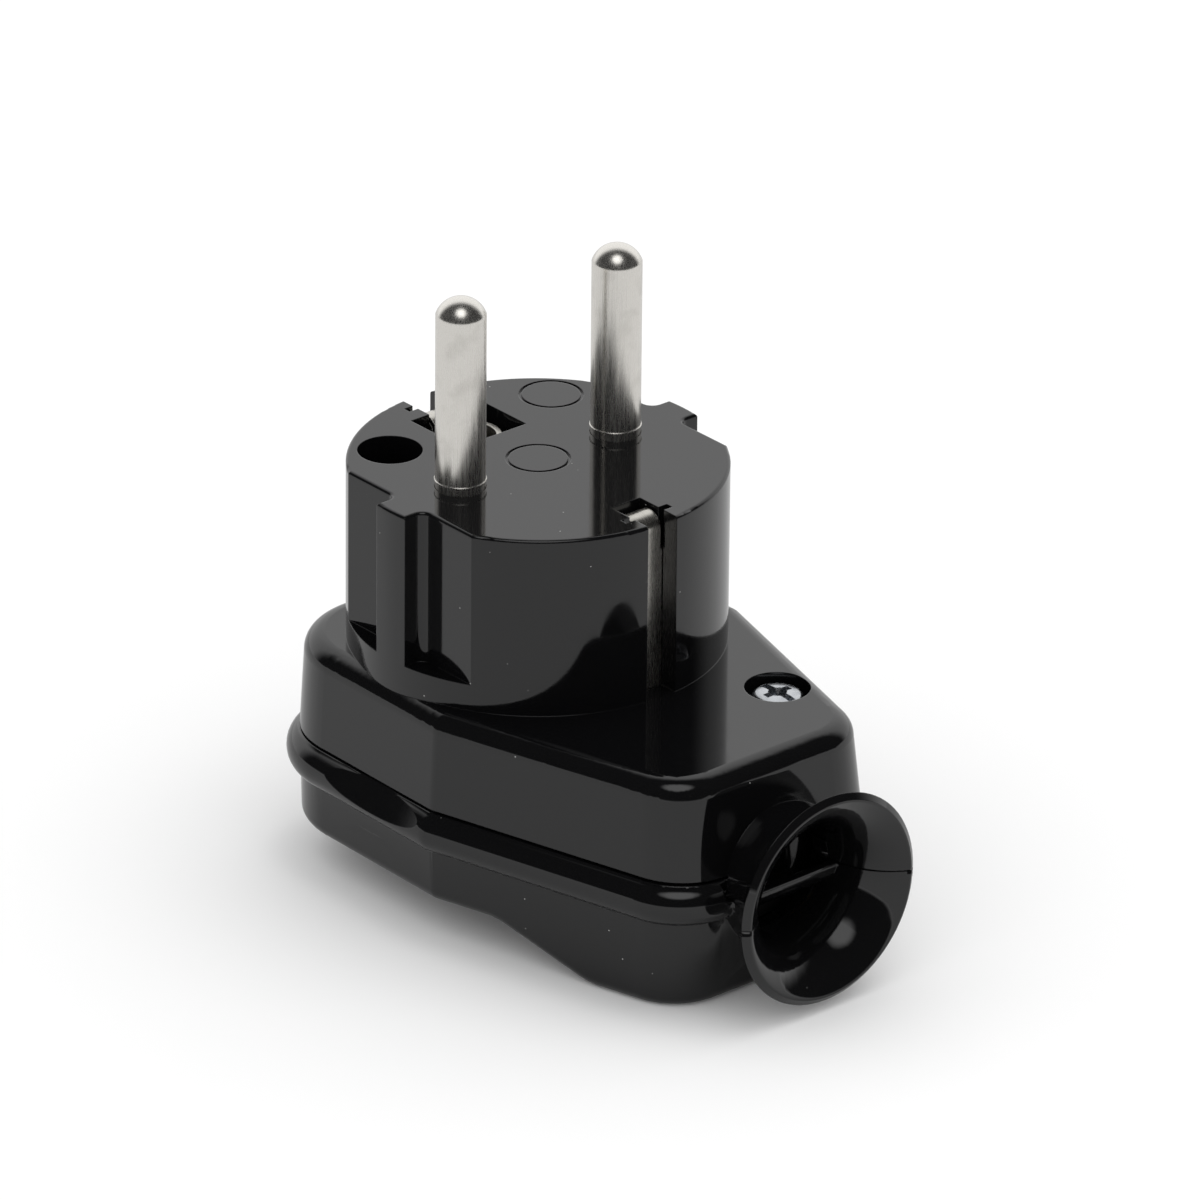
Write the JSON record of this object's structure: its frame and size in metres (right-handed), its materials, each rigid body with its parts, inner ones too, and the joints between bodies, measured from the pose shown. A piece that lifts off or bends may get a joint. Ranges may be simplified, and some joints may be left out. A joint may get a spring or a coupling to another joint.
{
  "type": "angled mains plug with switch",
  "caption": "Two-pin earthed mains plug with a side cord outlet and a rocker switch in a raised collar on its back.",
  "frame": {"origin": "midpoint between the two pins on the contact face", "axes": "+Z along the pins towards their tips, +X towards the cord outlet, +Y from the line pin to the neutral pin"},
  "size_m": [0.0617, 0.0412, 0.0606],
  "materials": {
    "gloss_thermoplastic": "polished black moulding",
    "rocker_plastic": "black moulding, fine satin",
    "carrier_plastic": "grey-black glass-filled moulding",
    "nickel_plate": "nickel plated brass, satin",
    "zinc_plate": "bright zinc plated steel",
    "spring_steel": "drawn spring wire",
    "brass_strip": "stamped brass strip",
    "brass_block": "machined brass"
  },
  "bodies": {
    "housing": {"front_shell": "gloss_thermoplastic", "back_shell": "gloss_thermoplastic", "line_pin": "nickel_plate", "neutral_pin": "nickel_plate", "earth_strap": "nickel_plate", "earth_socket": "nickel_plate", "earth_link": "brass_strip", "earth_terminal": "brass_block", "contact_carrier": "carrier_plastic", "carrier_screws": "zinc_plate", "terminal_screws": "zinc_plate", "shell_screws": "zinc_plate", "shell_nuts": "zinc_plate", "cord_clamp": "carrier_plastic", "clamp_screws": "zinc_plate", "line_centre_contact": "brass_strip", "neutral_centre_contact": "brass_strip", "line_load_contact": "brass_strip", "neutral_load_contact": "brass_strip", "line_terminal": "brass_block", "neutral_terminal": "brass_block"},
    "rocker": {"rocker": "rocker_plastic", "line_plunger": "carrier_plastic", "neutral_plunger": "carrier_plastic", "line_spring": "spring_steel", "neutral_spring": "spring_steel"},
    "line_blade": {"line_blade": "brass_strip"},
    "neutral_blade": {"neutral_blade": "brass_strip"}
  },
  "joints": [
    {"name": "rocker_hinge", "type": "hinge", "parent": "housing", "child": "rocker", "pos_m": [0.0015, 0, -0.036], "axis": [0, 1, 0], "range_deg": [0, 16]},
    {"name": "line_blade_tilt", "type": "hinge", "parent": "housing", "child": "line_blade", "pos_m": [0.0015, -0.005, -0.0276], "axis": [0, 1, 0], "range_deg": [-14, 0]},
    {"name": "neutral_blade_tilt", "type": "hinge", "parent": "housing", "child": "neutral_blade", "pos_m": [0.0015, 0.005, -0.0276], "axis": [0, 1, 0], "range_deg": [-14, 0]}
  ],
  "couplings": [
    {"joint": "line_blade_tilt", "follows": "rocker_hinge", "ratio": -0.875},
    {"joint": "neutral_blade_tilt", "follows": "rocker_hinge", "ratio": -0.875}
  ]
}
